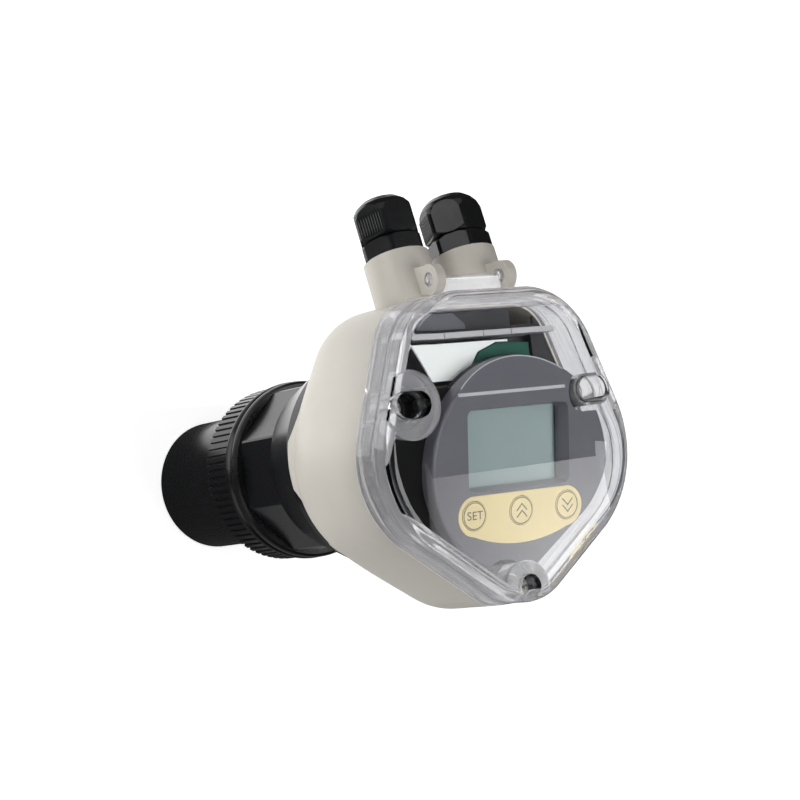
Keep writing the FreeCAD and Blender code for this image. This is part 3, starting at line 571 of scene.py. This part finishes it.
# rounded edge along the crease of the bezel, coloured light grey as a painted highlight
bm = bmesh.new()
CREASE = [(15.75, -0.3), (15.8, 0.0), (16.1, 0.06), (16.4, 0.09), (16.7, 0.06), (16.95, -0.02), (17.1, -0.12), (17.15, -0.5)]
loft(bm, [[(u, v, w) for v, w in CREASE] for u in range(-30, 23, 2)], False)
mesh_obj("bezel_crease", bm, MAT["bezel_edge_highlight"], "body", True, PANEL_M @ SC)

# rounded edge round the upper segment of the bezel, coloured light grey as a painted highlight
bm = bmesh.new()
arc = []
for k in range(49):
    a = math.radians(-42.0 + 74.0 * k / 48)
    u, v = (PUCK_R - 0.32) * math.sin(a), PUCK_V + (PUCK_R - 0.32) * math.cos(a)
    arc.append((u, v, -0.3 * max(0.0, v - 16.6)))
stroke(bm, arc, 0.56, 0.12, -0.05)
mesh_obj("bezel_arc", bm, MAT["bezel_edge_highlight"], "body", True, PANEL_M @ SC)

# crests of the ribs on the gland nuts, coloured lighter than the nut as a painted highlight
MAT["rib_crest_highlight"] = plastic("rib_crest_highlight", (0.05, 0.052, 0.055), (0.2, 0.28), 0.1, 3000, 0.00001, 0.1, 80, 0.5)
ACROSS = Matrix(((0, 0, 1, 0), (1, 0, 0, 0), (0, 1, 0, 0), (0, 0, 0, 1)))
for sg, nm, faces, turn in ((-1, "left", (210.0, 30.0), -6.0), (1, "right", (150.0, 330.0), 15.0)):
    seat = Matrix.Translation((sg * 16.3, 74.3, 188.0)) @ Matrix.Rotation(-(math.pi / 2 + LEAN), 4, "X")
    bm = bmesh.new()
    for f in faces:
        side = bmesh.new()
        for j in range(-4, 5):
            stroke(side, [(j * 1.2, z, 0.0) for z in (9.7, 11.5, 13.5, 15.5, 17.0)], 0.34, 0.07, -0.03)
        side.transform(seat @ Matrix.Rotation(math.radians(f + turn), 4, "Z") @ Matrix.Translation((11.82, 0, 0)) @ ACROSS)
        part = bpy.data.meshes.new("side")
        side.to_mesh(part)
        side.free()
        bm.from_mesh(part)
        bpy.data.meshes.remove(part)
    mesh_obj("gland_rib_" + nm, bm, MAT["rib_crest_highlight"], "gland_nut_" + nm, True, SC)

# thread of the probe, a fine ridge wound between the smooth end and the neck
bm = bmesh.new()
pitch, r0, r1, z0, z1, per = 2.0, 29.55, 29.9, 57.6, 82.4, 96
steps = int((z1 - z0) / pitch * per)
prev = None
for i in range(steps + 1):
    a = 2 * math.pi * i / per
    z = z0 + pitch * i / per
    fade = min(1.0, i / 20.0, (steps - i) / 20.0)
    rr = r0 + (r1 - r0) * fade
    c, sn = math.cos(a), math.sin(a)
    row = [bm.verts.new((r0 * c, r0 * sn, z - 0.75)), bm.verts.new((rr * c, rr * sn, z - 0.2)),
           bm.verts.new((rr * c, rr * sn, z + 0.2)), bm.verts.new((r0 * c, r0 * sn, z + 0.75))]
    if prev:
        for k in range(4):
            bm.faces.new((prev[k], row[k], row[(k + 1) % 4], prev[(k + 1) % 4]))
    else:
        bm.faces.new(row)
    prev = row
bm.faces.new(prev[::-1])
mesh_obj("probe_thread", bm, MAT["black_gloss"], "body", False, SC)

# ------------------------------------------------------------------ studio
def area(name, loc, target, size, power, col=(1, 1, 1)):
    ld = bpy.data.lights.new(name, "AREA")
    ld.shape = "RECTANGLE"
    ld.size, ld.size_y = size
    ld.energy = power
    ld.color = col
    ob = bpy.data.objects.new(name, ld)
    bpy.context.scene.collection.objects.link(ob)
    ob.location = loc
    d = Vector(target) - Vector(loc)
    ob.rotation_euler = d.to_track_quat("-Z", "Y").to_euler()
    return ob


world = bpy.data.worlds.new("studio")
bpy.context.scene.world = world
world.use_nodes = True
bg = world.node_tree.nodes["Background"]
bg.inputs["Color"].default_value = (1, 1, 1, 1)
bg.inputs["Strength"].default_value = 0.05

area("key_left", (-0.95, 0.50, 0.45), (0, 0, 0.17), (0.7, 0.7), 4.0)
area("top_bank", (-0.1, 1.0, 0.6), (0, 0, 0.17), (1.1, 0.7), 1.5)
area("overhead", (0.12, -0.18, 1.15), (0, 0, 0.2), (0.5, 0.5), 3.8)
area("fill_left", (-0.9, -0.5, 0.6), (0, 0, 0.17), (0.6, 0.6), 1.2)


def card(name, x0, x1, y0, y1, z, dim, bright, slant=0.0, fade=(-1.0, 1.0, 1.0, 1.0), full=None):
    """glowing card that only shows in reflections, brighter towards +X"""
    m, nt, b = new_mat(name)
    tc = nt.nodes.new("ShaderNodeTexCoord")
    sp = nt.nodes.new("ShaderNodeSeparateXYZ")
    nt.links.new(tc.outputs["Object"], sp.inputs["Vector"])
    b.inputs["Base Color"].default_value = (0, 0, 0, 1)
    b.inputs["Emission Color"].default_value = (1, 1, 1, 1)
    mul = nt.nodes.new("ShaderNodeMath")
    mul.operation = "MULTIPLY"
    nt.links.new(to_range(nt, sp.outputs["X"], dim, bright, x0, full or x1), mul.inputs[0])
    nt.links.new(to_range(nt, sp.outputs["Y"], fade[1], fade[3], fade[0], fade[2]), mul.inputs[1])
    nt.links.new(mul.outputs[0], b.inputs["Emission Strength"])
    me = bpy.data.meshes.new(name)
    bm = bmesh.new()
    q = [bm.verts.new(v) for v in ((x0, y0, z), (x1, y0, z), (x1, y1 + slant, z), (x0, y1, z))]
    bm.faces.new(q)
    bm.to_mesh(me)
    bm.free()
    me.materials.append(m)
    ob = bpy.data.objects.new(name, me)
    bpy.context.scene.collection.objects.link(ob)
    ob.visible_camera = ob.visible_diffuse = ob.visible_shadow = ob.visible_transmission = False
    return ob


card("card_front", 0.50, 0.78, -0.45, 0.0033, 1.04, 0.35, 2.1, 0.0058, (-0.07, 2.8, 0.006, 1.75), 0.66)
card("card_rear", 0.40, 0.90, 0.17, 0.60, 1.04, 3.8, 3.8)
card("card_back", -0.25, 0.15, 0.037, 0.30, 0.0, 1.5, 1.5)
card("card_low", -0.25, 0.15, -0.35, -0.07, 0.0, 0.28, 0.28)

# flag that keeps the low side light off the inside of the cover
me = bpy.data.meshes.new("flag_left")
bm = bmesh.new()
bm.faces.new([bm.verts.new(v) for v in ((-0.085, -0.075, 0.206), (-0.085, 0.09, 0.206), (-0.085, 0.09, 0.243), (-0.085, -0.075, 0.243))])
bm.to_mesh(me)
bm.free()
flag = bpy.data.objects.new("flag_left", me)
bpy.context.scene.collection.objects.link(flag)
flag.visible_camera = flag.visible_diffuse = flag.visible_glossy = flag.visible_transmission = False
me.materials.append(MAT["carrier_black"])

fm, fnt, fb = new_mat("studio_floor")
fv = coords(fnt)
fn = noise(fnt, fv, 6.0, 3.0, 0.5)
fnt.links.new(ramp(fnt, fn, [(0.3, (0.93, 0.93, 0.93)), (0.7, (0.95, 0.95, 0.95))]), fb.inputs["Base Color"])
fb.inputs["Roughness"].default_value = 0.8
fb.inputs["Emission Color"].default_value = (1, 1, 1, 1)
fb.inputs["Emission Strength"].default_value = 0.75
me = bpy.data.meshes.new("floor")
bm = bmesh.new()
bmesh.ops.create_grid(bm, x_segments=2, y_segments=2, size=3.0)
bm.to_mesh(me)
bm.free()
floor = bpy.data.objects.new("floor", me)
bpy.context.scene.collection.objects.link(floor)
floor.location = (0, 0, -0.0002)
me.materials.append(fm)
floor.visible_glossy = False

# ------------------------------------------------------------------ camera
cam_d = bpy.data.cameras.new("cam")
cam_d.sensor_width = 36.0
cam_d.lens = 2400.8 / 800 * 36.0
cam_d.clip_start = 0.01
cam = bpy.data.objects.new("cam", cam_d)
bpy.context.scene.collection.objects.link(cam)
fwd = Vector((0.5743, 0.0520, -0.8170)).normalized()
right = Vector((0.8153, -0.1261, 0.5651))
right = (right - fwd * right.dot(fwd)).normalized()
up = right.cross(fwd)
rot = Matrix((right, up, -fwd)).transposed().to_4x4()
cam.matrix_world = Matrix.Translation((-0.5612, -0.0295, 0.9538)) @ rot
bpy.context.scene.camera = cam

vs = bpy.context.scene.view_settings
vs.view_transform = "Standard"
vs.look = "None"
